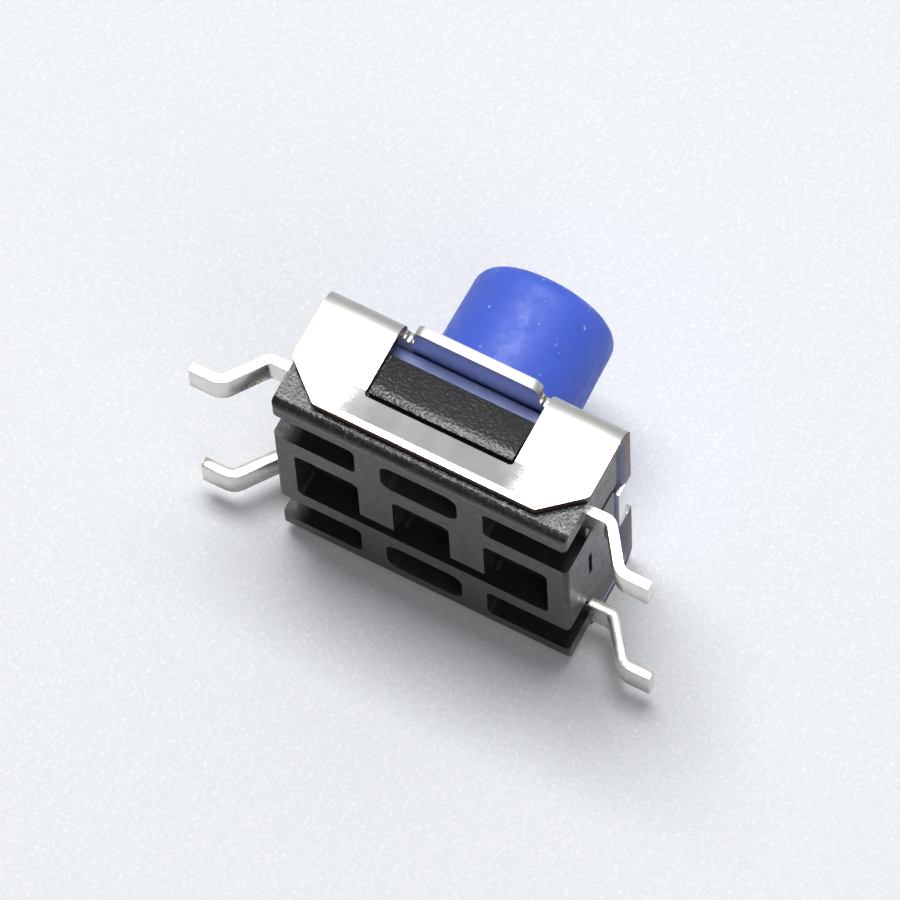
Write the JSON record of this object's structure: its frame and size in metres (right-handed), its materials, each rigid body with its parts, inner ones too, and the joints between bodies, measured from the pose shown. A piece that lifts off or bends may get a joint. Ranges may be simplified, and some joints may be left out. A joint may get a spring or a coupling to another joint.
{
  "type": "tactile push button switch",
  "caption": "Surface mount tactile push button switch with a folded metal cover, snap windows, gull-wing terminals and a round blue stem.",
  "frame": {"origin": "middle of the switch on the plane of the solder feet, on the stem's axis", "axes": "+Z along the stem, away from the board; +X along the cover's skirts, the way the terminals stand out; the skirts face -Y and +Y"},
  "size_m": [0.0094, 0.0064, 0.0051],
  "materials": {
    "housing_polymer": "black glass-filled polymer, moulded, satin",
    "cover_steel": "tin-plated steel sheet, stamped and folded, satin",
    "stem_nylon": "blue nylon, moulded, satin",
    "dome_steel": "spring steel, bright",
    "contact_metal": "silver-plated brass strip, stamped and bent, satin"
  },
  "bodies": {
    "housing": {"housing": "housing_polymer", "cover": "cover_steel", "near_contact": "contact_metal", "far_contact": "contact_metal", "dome": "dome_steel"},
    "stem": {"stem": "stem_nylon"}
  },
  "joints": [
    {"name": "stem_press", "type": "slide", "parent": "housing", "child": "stem", "axis": [0, 0, -1], "range_m": [0, 0.00025], "stiffness_N_per_m": 6400, "deforming": ["dome"]}
  ]
}
